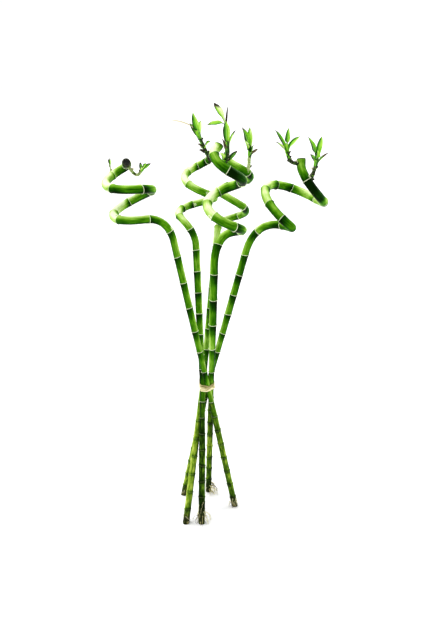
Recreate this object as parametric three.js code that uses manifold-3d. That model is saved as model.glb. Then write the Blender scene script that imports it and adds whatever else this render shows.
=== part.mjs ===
// A tied bundle of spiral lucky bamboo: five curled canes, the leafy shoots at their tips,
// the roots at their cut ends and the raffia band that holds them. It stands on its own feet.
// Millimetres, +Z up. The foot of every cane is cut flat in the plane z = 0.
import * as THREE from 'three';
import { mergeVertices } from 'three/addons/utils/BufferGeometryUtils.js';
import Module from 'manifold-3d';

const wasm = await Module();
wasm.setup();

// ---- The bundle ----
const BUNDLE_AXIS = [-11.4, -1.4]; // the bundle's axis, from the middle of the bounding box
const TIE_HEIGHT = 213;            // the waist, where the band holds the canes
const WAIST_RADIUS = 7.25;         // from the bundle's axis to each cane's centre at the waist
const GAP = 0.35;                  // clearance between pieces that touch on the real thing

// ---- Canes ----
const CANE_SIDES = 8;
const CURVE_STEP = 7.5;            // spacing of the sections where a cane bends or curls
const STEM_TAPER = 120;            // length over which a cane widens again above the tie
const NODE_SWELL = 1.07;           // a node's diameter over its internode's
const NODE_REACH = 2.6;            // from the middle of a node to where its swelling ends
const NODES_CLEAR = [-27, 14];     // no node within these heights of the middle of the band

// Each cane runs straight from its foot to the waist and on to its shoulder, bends over and
// climbs round a leaning axis, always turning the same way. Angles are in degrees, seen from
// above. narrows: the shares of the leg between which it narrows from foot to waist. nodes:
// runs of nodes, each a first distance from the foot and a spacing. tipLength: from the last
// node to the cut end.
const CANES = {
  left: {
    foot: [45, 8], waistAngle: -72, shoulder: [-44, -34, 440],
    curl: { centre: [-93, -27, 471], lean: [-0.25, 0], radii: [31, 28], pitches: [36, 50],
      start: -65, turn: 555 },
    bend: [0.40, 0.41],
    tip: { at: [-106, -22, 545], towards: [0.3, -0.85, 0.4] },
    diameters: { foot: 9.2, waist: 7.4, stem: 10.0, curl: 11.6 }, narrows: [0.7, 1],
    nodes: [[18, 25], [245, 34], [351, 39], [505, 43], [578, 34], [655, 41], [786, 40]],
    tipLength: 12,
  },
  back_left: {
    foot: [-7.7, -40.5], waistAngle: -143, shoulder: [-15, 26, 420],
    curl: { centre: [-14, 50, 460], lean: [0.05, 0], radii: [27, 17], pitches: [44, 67],
      start: -155, turn: 545 },
    bend: [0.44, 0.45],
    diameters: { foot: 9.8, waist: 8.0, stem: 10.2, curl: 10.8 }, narrows: [0.5, 0.8],
    nodes: [[18, 25], [265, 31], [453, 27], [507, 20], [548, 24], [596, 32], [660, 19]],
    tipLength: 9,
  },
  front: {
    foot: [2.6, 51], waistAngle: -5, shoulder: [11, -46, 410],
    curl: { centre: [22, -63, 453], lean: [0.06, -0.1], radii: [26, 18], pitches: [63, 68],
      start: 58, turn: 600 },
    bend: [0.43, 0.44],
    tip: { at: [17.2, -64, 571.5], towards: [0.4, 0.45, 0.8] },
    diameters: { foot: 9.0, waist: 7.6, stem: 11.0, curl: 12.0 }, narrows: [0.7, 1],
    nodes: [[28, 24], [245, 41], [498, 35], [563, 27], [617, 41]],
    tipLength: 20,
  },
  back_right: {
    foot: [-31.7, -40], waistAngle: 138, shoulder: [15, 56, 423],
    curl: { centre: [36, 68, 453], lean: [0.14, 0.15], radii: [21, 20], pitches: [54, 45],
      start: 90, turn: 640 },
    bend: [0.43, 0.45],
    diameters: { foot: 9.8, waist: 8.2, stem: 9.9, curl: 10.8 }, narrows: [0.5, 0.8],
    nodes: [[23, 28], [241, 31], [504, 38], [652, 28]],
    tipLength: 20,
  },
  right: {
    foot: [-38, 41], waistAngle: 69, shoulder: [55, -9, 418],
    curl: { centre: [109, -30, 480], lean: [0.63, -0.21], radii: [45, 28], pitches: [39, 72],
      start: -98, turn: 395 },
    bend: [0.80, 0.41],
    tip: { at: [123, -52, 553], towards: [-0.05, 0.25, 1] },
    diameters: { foot: 9.2, waist: 7.2, stem: 10.2, curl: 11.6 }, narrows: [0.7, 1],
    nodes: [[20, 25], [244, 31], [471, 45], [562, 26], [588, 32], [678, 40], [758, 45]],
    tipLength: 32,
  },
};

// ---- Roots ----
const ROOT_SIDES = 4;
const ROOT_DIAMETERS = [1.7, 1.1];
const ROOT_LOWEST = 1.0;           // a root's centre stays this far above the floor
// count strands leave the foot between two heights, spread evenly from one angle to another
const ROOTS = {
  left: { count: 5, heights: [5, 13], angles: [110, 300], reach: 9 },
  back_left: { count: 8, heights: [5, 24], angles: [-150, 170], reach: 10 },
  front: { count: 7, heights: [6, 19], angles: [-75, 80], reach: 14 },
  back_right: { count: 3, heights: [4, 9], angles: [120, 330], reach: 4 },
  right: { count: 3, heights: [4, 9], angles: [20, 250], reach: 4 },
};

// ---- Leafy shoots ----
const SHOOT_SIDES = 6;
const SHOOT_GAP = 0.5;             // from a shoot's base to the cane that it springs from
const BLADE_THICKNESS = 0.75;
const BLADE_SEGMENTS = 4;
const BLADE_FOLD = 0.35;           // how far a blade's edges rise, over its half width
const BLADE_WIDEST = 0.4;          // where a blade is widest, from its base, unless it says so
// stem: points it passes through. leaves: where each starts along the stem, from 0 to 1,
// the point that its tip reaches, its width and, on some, where it is widest.
const SHOOTS = {
  left_tip: {
    cane: 'left',
    stem: [[-106, -15, 540], [-98, -18, 531], [-93, -20, 528], [-89, -20, 530], [-86.8, -20, 534]],
    diameters: [4.8, 4], rings: 4,
    leaves: [[0.9, [-89, -11, 544], 4.5], [0.98, [-78.5, -30, 543.5], 6.5],
      [0.95, [-73.8, -16, 543], 5], [0.8, [-81, -8, 542.5], 4.5]],
  },
  left_side: {
    cane: 'left', stem: [[-128, -3, 524], [-130, -3, 531], [-130.7, -3, 541]],
    diameters: [2.4, 1.6], rings: 2,
    leaves: [[0.9, [-130.8, -3, 549], 2.6], [0.8, [-134, 2, 547], 2.4]],
  },
  back_left: {
    cane: 'back_left', stem: [[4, 57, 543], [-1, 54, 553], [-5.4, 54, 562.5], [-9, 54, 571]],
    diameters: [6.2, 5], rings: 5,
    leaves: [[0.95, [-18.8, 44, 607], 10.5], [0.9, [-24, 60, 591.5], 7], [0.95, [-8, 74, 594], 7.5],
      [0.5, [6.1, 48, 567], 5.5], [0.7, [-16.4, 42, 577], 5.5], [0.85, [-58, 84, 595], 4],
      [0.2, [-10.5, 44, 555], 6], [0.5, [-12.6, 46, 563], 4.5]],
  },
  front: {
    cane: 'front', stem: [[23, -88, 545], [26.5, -85, 558], [26.6, -83, 571], [25.8, -83, 582]],
    diameters: [6.4, 6], rings: 4,
    leaves: [[0.75, [24.6, -92, 602], 9.5], [0.98, [9.6, -70, 622.7], 9.5, 0.66],
      [0.95, [1.4, -96, 597], 8, 0.62], [0.98, [27.3, -76, 619], 2.8], [0.3, [19.7, -98, 582], 4.5],
      [0.15, [40, -78, 565.5], 6], [0.6, [37.7, -64, 589.5], 3], [0.12, [17.7, -95, 563], 9, 0.5]],
  },
  back_right: {
    cane: 'back_right', stem: [[59, 60, 521], [61.4, 58, 533], [61.7, 56, 543], [62.4, 55, 551]],
    diameters: [5.6, 4.6], rings: 4,
    leaves: [[0.95, [49.8, 42, 587], 9], [0.8, [53.8, 38, 569], 8, 0.45], [0.92, [62, 64, 585.5], 8],
      [0.8, [67, 44, 562], 4.5], [0.7, [75, 66, 555], 4.5]],
  },
  right_inner: {
    cane: 'right', stem: [[121, -56, 546], [109.5, -62, 549.5], [105.4, -64, 555.3], [103.5, -64, 563.5]],
    diameters: [5.4, 4.6], rings: 4,
    leaves: [[0.95, [88, -52, 589], 5], [0.98, [103.5, -75, 593], 8], [0.93, [120.5, -53, 581], 8],
      [0.8, [87, -79, 575.7], 5], [0.7, [107.3, -74, 564], 4.5]],
  },
  right_outer: {
    cane: 'right', stem: [[133, -66, 522], [137.5, -67, 537], [139.4, -67, 544.3], [140.7, -67, 552.5]],
    diameters: [5.4, 4.8], rings: 4,
    leaves: [[0.93, [127.3, -77, 582], 8], [0.97, [147.7, -57, 581.5], 8.5], [0.8, [134, -53, 558.6], 5],
      [0.75, [139, -83, 566.3], 9, 0.45], [0.8, [156.6, -63, 561.6], 3]],
  },
};

// ---- Raffia band ----
const BAND_HEIGHT = 11;
const BAND_THICKNESS = 1.7;
const BAND_STEPS = 36;
const KNOT = { at: [11.6, -7.2, 213], radius: 2.8 };
const TAIL_SIZE = [2.2, 0.9];      // width and thickness of a raffia end
const TAILS = [
  [[11.8, -7, 213], [14, -9.4, 214], [15, -10.6, 209], [15, -11, 202]],
  [[11.6, -7.4, 212], [12.6, -11, 211], [13, -12.6, 205], [12.2, -13, 198]],
];

const COLOURS = {
  cane: 0x5d9a2a,
  shoot: 0x63b02c,
  raffia: 0xd9cfa8,
};

const rad = THREE.MathUtils.degToRad;
const vec = (p) => new THREE.Vector3(...p);
const lerp = THREE.MathUtils.lerp;

// ---- Solids ----

// A closed body from rings of points: faces between rings and a flat fan on each end.
function bodyFromRings(rings) {
  const sides = rings[0].length;
  const positions = [];
  const indices = [];
  for (const ring of rings) {
    for (const p of ring) positions.push(p.x, p.y, p.z);
  }
  for (let i = 0; i + 1 < rings.length; i++) {
    for (let j = 0; j < sides; j++) {
      const k = (j + 1) % sides;
      const [a, b, c, d] = [i * sides + j, i * sides + k, (i + 1) * sides + k, (i + 1) * sides + j];
      indices.push(a, b, c, a, c, d);
    }
  }
  const last = (rings.length - 1) * sides;
  for (let j = 1; j + 1 < sides; j++) {
    indices.push(0, j + 1, j);
    indices.push(last, last + j, last + j + 1);
  }
  return geometryOf(positions, indices);
}

function geometryOf(positions, indices) {
  const geometry = new THREE.BufferGeometry();
  geometry.setAttribute('position', new THREE.Float32BufferAttribute(positions, 3));
  geometry.setIndex(indices);
  return geometry;
}

function solidOf(geometry) {
  const bare = geometry.clone();
  bare.deleteAttribute('normal');
  bare.deleteAttribute('uv');
  const merged = mergeVertices(bare);
  return new wasm.Manifold(new wasm.Mesh({
    numProp: 3,
    vertProperties: new Float32Array(merged.attributes.position.array),
    triVerts: new Uint32Array(merged.index.array),
  }));
}

// Bodies that cross each other become one.
function fuse(geometries) {
  const whole = geometries.map(solidOf).reduce((sum, solid) => sum.add(solid));
  const mesh = whole.getMesh();
  return geometryOf(Array.from(mesh.vertProperties), Array.from(mesh.triVerts));
}

// A round tube through sections { centre, tangent, radius }, carried along without twisting.
function tube(sections, sides) {
  const first = sections[0].tangent;
  const helper = Math.abs(first.z) > 0.9 ? new THREE.Vector3(1, 0, 0) : new THREE.Vector3(0, 0, 1);
  const normal = helper.sub(first.clone().multiplyScalar(helper.dot(first))).normalize();
  let before = first;
  return sections.map(({ centre, tangent, radius }) => {
    normal.applyQuaternion(new THREE.Quaternion().setFromUnitVectors(before, tangent));
    before = tangent;
    const across = tangent.clone().cross(normal);
    return Array.from({ length: sides }, (_, j) => {
      const angle = (2 * Math.PI * j) / sides;
      return centre.clone()
        .addScaledVector(normal, radius * Math.cos(angle))
        .addScaledVector(across, radius * Math.sin(angle));
    });
  });
}

// ---- Cane paths ----

// The curl: a helix round a leaning axis whose radius and pitch change evenly.
class Curl extends THREE.Curve {
  constructor({ centre, lean, radii, pitches, start, turn }) {
    super();
    Object.assign(this, { centre: vec(centre), radii, pitches, start: rad(start), turn: rad(turn) });
    this.axis = new THREE.Vector3(lean[0], lean[1], 1).normalize();
    this.right = new THREE.Vector3(1, 0, 0).addScaledVector(this.axis, -this.axis.x).normalize();
    this.back = this.axis.clone().cross(this.right);
  }

  getPoint(t, target = new THREE.Vector3()) {
    const angle = this.start - this.turn * t;
    const radius = lerp(...this.radii, t);
    const turns = (this.turn * t) / (2 * Math.PI);
    const rise = turns * lerp(...this.pitches, t / 2);
    return target.copy(this.centre)
      .addScaledVector(this.right, radius * Math.cos(angle))
      .addScaledVector(this.back, radius * Math.sin(angle))
      .addScaledVector(this.axis, rise);
  }

  // The direction of travel where the curl begins.
  heading() {
    return new THREE.Vector3()
      .addScaledVector(this.right, this.radii[0] * Math.sin(this.start))
      .addScaledVector(this.back, -this.radii[0] * Math.cos(this.start))
      .addScaledVector(this.axis, this.pitches[0] / (2 * Math.PI))
      .normalize();
  }
}

function canePath(cane) {
  const foot = vec([...cane.foot, 0]);
  const angle = rad(cane.waistAngle);
  const waist = vec([WAIST_RADIUS * Math.cos(angle), WAIST_RADIUS * Math.sin(angle), TIE_HEIGHT]);
  const shoulder = vec(cane.shoulder);
  const curl = new Curl(cane.curl);
  const start = curl.getPoint(0);
  const reach = start.distanceTo(shoulder);
  const rising = shoulder.clone().sub(waist).normalize();
  const path = new THREE.CurvePath();
  path.add(new THREE.LineCurve3(foot, waist));
  path.add(new THREE.LineCurve3(waist, shoulder));
  path.add(new THREE.CubicBezierCurve3(
    shoulder,
    shoulder.clone().addScaledVector(rising, cane.bend[0] * reach),
    start.clone().addScaledVector(curl.heading(), -cane.bend[1] * reach),
    start,
  ));
  path.add(curl);
  if (cane.tip) path.add(tipCurve(curl, cane.tip));
  path.curves.forEach((curve) => { curve.arcLengthDivisions = 400; });
  path.legLength = foot.distanceTo(waist);
  path.shoulderAt = path.legLength + waist.distanceTo(shoulder);
  path.total = path.getLength();
  return path;
}

// The last reach of a cane that leaves its curl to point another way.
function tipCurve(curl, { at, towards }) {
  const end = curl.getPoint(1);
  const tip = vec(at);
  const pull = 0.5 * end.distanceTo(tip);
  return new THREE.CubicBezierCurve3(
    end,
    end.clone().addScaledVector(curl.getTangent(1), pull),
    tip.clone().addScaledVector(vec(towards).normalize(), -pull),
    tip,
  );
}

const pointAt = (path, distance) => path.getPoint(distance / path.total);

function tangentAt(path, distance) {
  const from = Math.max(0, distance - 0.5);
  const to = Math.min(path.total, distance + 0.5);
  return pointAt(path, to).sub(pointAt(path, from)).normalize();
}

function smoothStep(value, from, to) {
  const t = Math.min(1, Math.max(0, (value - from) / (to - from)));
  return t * t * (3 - 2 * t);
}

function caneRadius(cane, path, distance) {
  const { foot, waist, stem, curl } = cane.diameters;
  const { legLength, shoulderAt, total } = path;
  const curlAt = shoulderAt + 0.3 * (total - shoulderAt);
  if (distance < legLength) return lerp(foot, waist, smoothStep(distance / legLength, ...cane.narrows)) / 2;
  if (distance < shoulderAt) {
    return lerp(waist, stem, Math.min(1, (distance - legLength) / STEM_TAPER)) / 2;
  }
  return lerp(stem, curl, Math.min(1, (distance - shoulderAt) / (curlAt - shoulderAt))) / 2;
}

// Distances of the nodes from the foot, the last of them below the cut tip.
function nodeDistances(cane, path) {
  const last = path.total - cane.tipLength;
  const distances = [];
  cane.nodes.forEach(([first, spacing], run) => {
    const end = run + 1 < cane.nodes.length ? cane.nodes[run + 1][0] : last;
    for (let d = first; d < end - 0.6 * spacing; d += spacing) distances.push(d);
  });
  distances.push(last);
  const [below, above] = NODES_CLEAR;
  return distances.filter((d) => d < path.legLength + below || d > path.legLength + above);
}

// ---- Pieces ----

function caneGeometry(cane, path) {
  const stations = new Map();
  const addStation = (distance, swell) => stations.set(distance, swell);
  for (const node of nodeDistances(cane, path)) {
    addStation(node - NODE_REACH, 1);
    addStation(node, NODE_SWELL);
    addStation(node + NODE_REACH, 1);
  }
  const isFree = (distance) => [...stations.keys()].every((s) => Math.abs(s - distance) > 0.5 * CURVE_STEP);
  for (const distance of [path.legLength, path.shoulderAt]) {
    if (isFree(distance)) addStation(distance, 1);
  }
  for (let d = path.shoulderAt + CURVE_STEP; d < path.total - 0.5 * CURVE_STEP; d += CURVE_STEP) {
    if (isFree(d)) addStation(d, 1);
  }
  addStation(0, 1);
  addStation(path.total, 1);
  const sections = [...stations].sort((a, b) => a[0] - b[0]).map(([distance, swell]) => ({
    centre: pointAt(path, distance),
    tangent: tangentAt(path, distance),
    radius: swell * caneRadius(cane, path, distance),
  }));
  const rings = tube(sections, CANE_SIDES);
  cutFlat(rings[0], sections[0].tangent);
  return bodyFromRings(rings);
}

// Slides the points of a ring along the cane until they lie in the floor plane.
function cutFlat(ring, direction) {
  for (const p of ring) p.addScaledVector(direction, -p.z / direction.z);
}

function rootGeometry(path, { count, heights, angles, reach }, index) {
  const share = count > 1 ? index / (count - 1) : 0.5;
  const angle = rad(lerp(...angles, share));
  const height = lerp(...heights, (index * 0.62) % 1);
  const length = reach * lerp(0.7, 1, (index * 0.38) % 1);
  const start = pointAt(path, height);
  const out = new THREE.Vector3(Math.cos(angle), Math.sin(angle), 0);
  const curve = new THREE.QuadraticBezierCurve3(
    start,
    start.clone().addScaledVector(out, 0.5 * length + 4),
    start.clone().addScaledVector(out, length + 4).setZ(Math.max(ROOT_LOWEST, 0.15 * height)),
  );
  const steps = 4;
  const sections = Array.from({ length: steps + 1 }, (_, i) => ({
    centre: curve.getPoint(i / steps),
    tangent: curve.getTangent(i / steps),
    radius: lerp(...ROOT_DIAMETERS, i / steps) / 2,
  }));
  return bodyFromRings(tube(sections, ROOT_SIDES));
}

// How wide a blade is along its length: a clasping base, a belly and a drawn-out tip.
function bladeWidth(t, widest) {
  const belly = Math.sin(Math.PI * t ** (Math.log(0.5) / Math.log(widest))) ** 0.85;
  return 0.3 * (1 - t) ** 2 + belly + 0.06;
}

function bladeGeometry(base, growth, tip, width, widest = BLADE_WIDEST) {
  const reach = base.distanceTo(tip);
  const control = base.clone().addScaledVector(growth, 0.5 * reach);
  const spine = new THREE.QuadraticBezierCurve3(base, control, tip);
  const outward = tip.clone().sub(base);
  outward.addScaledVector(growth, -outward.dot(growth)).normalize();
  const inner = growth.clone().multiplyScalar(0.7).addScaledVector(outward, -0.3);
  const rings = Array.from({ length: BLADE_SEGMENTS + 1 }, (_, i) => {
    const t = i / BLADE_SEGMENTS;
    const tangent = spine.getTangent(t);
    const up = inner.clone().addScaledVector(tangent, -inner.dot(tangent)).normalize();
    const across = tangent.clone().cross(up);
    const half = 0.5 * width * bladeWidth(t, widest);
    const at = (side, level) => spine.getPoint(t)
      .addScaledVector(across, side * half)
      .addScaledVector(up, level * 0.5 * BLADE_THICKNESS + Math.abs(side) * BLADE_FOLD * half);
    return [at(1, 1), at(1, -1), at(0, -1), at(-1, -1), at(-1, 1), at(0, 1)];
  });
  return bladeFromRings(rings);
}

// A blade's body: both faces are split into triangles along the same diagonals.
function bladeFromRings(rings) {
  const positions = rings.flat().flatMap((p) => [p.x, p.y, p.z]);
  const indices = [];
  const quad = (a, b, c, d) => indices.push(a, b, c, a, c, d);
  const flipped = (a, b, c, d) => indices.push(a, b, d, b, c, d);
  for (let i = 0; i + 1 < rings.length; i++) {
    const [low, high] = [6 * i, 6 * (i + 1)];
    quad(low, low + 1, high + 1, high);
    quad(low + 1, low + 2, high + 2, high + 1);
    quad(low + 2, low + 3, high + 3, high + 2);
    quad(low + 3, low + 4, high + 4, high + 3);
    flipped(low + 4, low + 5, high + 5, high + 4);
    flipped(low + 5, low, high, high + 5);
  }
  const last = 6 * (rings.length - 1);
  for (const [a, b, c, d] of [[0, 5, 2, 1], [5, 4, 3, 2]]) {
    quad(a, b, c, d);
    quad(last + d, last + c, last + b, last + a);
  }
  return geometryOf(positions, indices);
}

function shootGeometry({ cane, stem, diameters, rings, leaves }) {
  const curve = new THREE.CatmullRomCurve3(stem.map(vec));
  const steps = 2 * rings;
  const sections = Array.from({ length: steps + 1 }, (_, i) => ({
    centre: curve.getPointAt(i / steps),
    tangent: curve.getTangentAt(i / steps),
    radius: 0.5 * lerp(...diameters, i / steps) * (i % 2 ? 0.88 : 1.06),
  }));
  const pieces = [bodyFromRings(tube(sections, SHOOT_SIDES))];
  for (const [share, tip, ...shape] of leaves) {
    pieces.push(bladeGeometry(curve.getPointAt(share), curve.getTangentAt(share), vec(tip), ...shape));
  }
  return trimmed(fuse(pieces), cane);
}

// The cane that a shoot springs from, a little fatter, is taken away from the shoot's base.
function trimmed(geometry, caneName) {
  const cane = CANES[caneName];
  const fatter = { ...cane, diameters: { ...cane.diameters } };
  for (const key of Object.keys(fatter.diameters)) fatter.diameters[key] += 2 * SHOOT_GAP;
  const path = canePath(fatter);
  const rest = solidOf(geometry).subtract(solidOf(caneGeometry(fatter, path)));
  const bodies = rest.decompose().sort((a, b) => b.volume() - a.volume());
  const mesh = bodies[0].getMesh();
  return geometryOf(Array.from(mesh.vertProperties), Array.from(mesh.triVerts));
}

// The line round the five canes, a distance out from them, through the height of the band.
function roundTheCanes(distance) {
  const circles = Object.values(CANES).flatMap((cane) => {
    const path = canePath(cane);
    return [-0.6, 0, 0.6].map((share) => ({
      centre: pointAt(path, path.legLength + share * BAND_HEIGHT),
      radius: caneRadius(cane, path, path.legLength + share * BAND_HEIGHT),
    }));
  });
  const support = (angle) => Math.max(...circles.map(({ centre, radius }) =>
    centre.x * Math.cos(angle) + centre.y * Math.sin(angle) + radius)) + distance;
  const step = (2 * Math.PI) / BAND_STEPS;
  return Array.from({ length: BAND_STEPS }, (_, i) => {
    const [a, b] = [support(i * step), support((i + 1) * step)];
    const along = (b - a * Math.cos(step)) / Math.sin(step);
    return [
      a * Math.cos(i * step) - along * Math.sin(i * step),
      a * Math.sin(i * step) + along * Math.cos(i * step),
    ];
  });
}

function bandGeometry() {
  const inner = roundTheCanes(GAP);
  const outer = roundTheCanes(GAP + BAND_THICKNESS);
  const waist = roundTheCanes(GAP + 0.75 * BAND_THICKNESS);
  const half = BAND_HEIGHT / 2;
  const profile = [
    [inner, -half], [waist, -half], [outer, -0.6 * half],
    [outer, 0.6 * half], [waist, half], [inner, half],
  ];
  const positions = [];
  const indices = [];
  const sides = profile.length;
  for (let i = 0; i < BAND_STEPS; i++) {
    for (const [line, height] of profile) positions.push(...line[i], TIE_HEIGHT + height);
    for (let j = 0; j < sides; j++) {
      const [next, k] = [(i + 1) % BAND_STEPS, (j + 1) % sides];
      const [a, b, c, d] = [i * sides + j, next * sides + j, next * sides + k, i * sides + k];
      indices.push(a, b, c, a, c, d);
    }
  }
  return geometryOf(positions, indices);
}

function tailGeometry(points) {
  const curve = new THREE.CatmullRomCurve3(points.map(vec));
  const steps = 6;
  const [width, thickness] = TAIL_SIZE;
  const rings = Array.from({ length: steps + 1 }, (_, i) => {
    const centre = curve.getPointAt(i / steps);
    const tangent = curve.getTangentAt(i / steps);
    const outward = new THREE.Vector3(centre.x, centre.y, 0).normalize();
    const across = tangent.clone().cross(outward).normalize();
    const flat = across.clone().cross(tangent);
    return [[-1, 1], [1, 1], [1, -1], [-1, -1]].map(([side, level]) => centre.clone()
      .addScaledVector(across, side * 0.5 * width)
      .addScaledVector(flat, level * 0.5 * thickness));
  });
  return bodyFromRings(rings);
}

function tieGeometry() {
  const knot = new THREE.IcosahedronGeometry(KNOT.radius, 1).translate(...KNOT.at);
  return fuse([bandGeometry(), knot, ...TAILS.map(tailGeometry)]);
}

// ---- Assembly ----

const plant = new THREE.Group();
plant.position.set(BUNDLE_AXIS[0], BUNDLE_AXIS[1], 0);

function addPiece(name, geometry, colour, roughness) {
  const material = new THREE.MeshStandardMaterial({ color: colour, roughness, metalness: 0 });
  const mesh = new THREE.Mesh(geometry, material);
  mesh.name = name;
  plant.add(mesh);
}

for (const [name, cane] of Object.entries(CANES)) {
  const path = canePath(cane);
  const strands = Array.from({ length: ROOTS[name].count }, (_, i) => rootGeometry(path, ROOTS[name], i));
  addPiece(`cane_${name}`, fuse([caneGeometry(cane, path), ...strands]), COLOURS.cane, 0.35);
}
for (const [name, shoot] of Object.entries(SHOOTS)) {
  addPiece(`shoot_${name}`, shootGeometry(shoot), COLOURS.shoot, 0.4);
}
addPiece('raffia_tie', tieGeometry(), COLOURS.raffia, 0.8);

const whole = new THREE.Group();
whole.add(plant);
export default whole;
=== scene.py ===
import math
import random

import bpy
import numpy as np
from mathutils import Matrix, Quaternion, Vector


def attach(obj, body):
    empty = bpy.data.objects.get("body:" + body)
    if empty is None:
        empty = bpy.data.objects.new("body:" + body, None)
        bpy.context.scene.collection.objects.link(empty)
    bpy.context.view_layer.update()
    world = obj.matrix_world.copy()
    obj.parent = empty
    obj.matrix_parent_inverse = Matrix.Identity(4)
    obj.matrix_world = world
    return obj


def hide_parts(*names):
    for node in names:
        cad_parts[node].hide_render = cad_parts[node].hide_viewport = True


# The looks of a tied bundle of spiral lucky bamboo. Sizes below are in millimetres, in the
# bundle's own frame, and MM turns them into the scene's metres.
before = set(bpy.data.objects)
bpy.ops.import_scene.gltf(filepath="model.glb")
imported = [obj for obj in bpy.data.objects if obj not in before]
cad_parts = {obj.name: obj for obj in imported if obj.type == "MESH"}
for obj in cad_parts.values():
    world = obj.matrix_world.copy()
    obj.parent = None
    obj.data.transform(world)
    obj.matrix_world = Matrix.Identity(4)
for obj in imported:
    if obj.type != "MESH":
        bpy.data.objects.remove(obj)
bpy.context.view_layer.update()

MM = 0.001
UP = Vector((0, 0, 1))
SEED = 11

# ---- The bundle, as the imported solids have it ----
BUNDLE_AXIS = Vector((-11.4, -1.4, 0))
TIE_HEIGHT = 213
WAIST_RADIUS = 7.25
STEM_TAPER = 120               # length over which a cane widens again above the tie
TIE_CLEARANCE = 14             # no node within this of the middle of the tie

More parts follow.
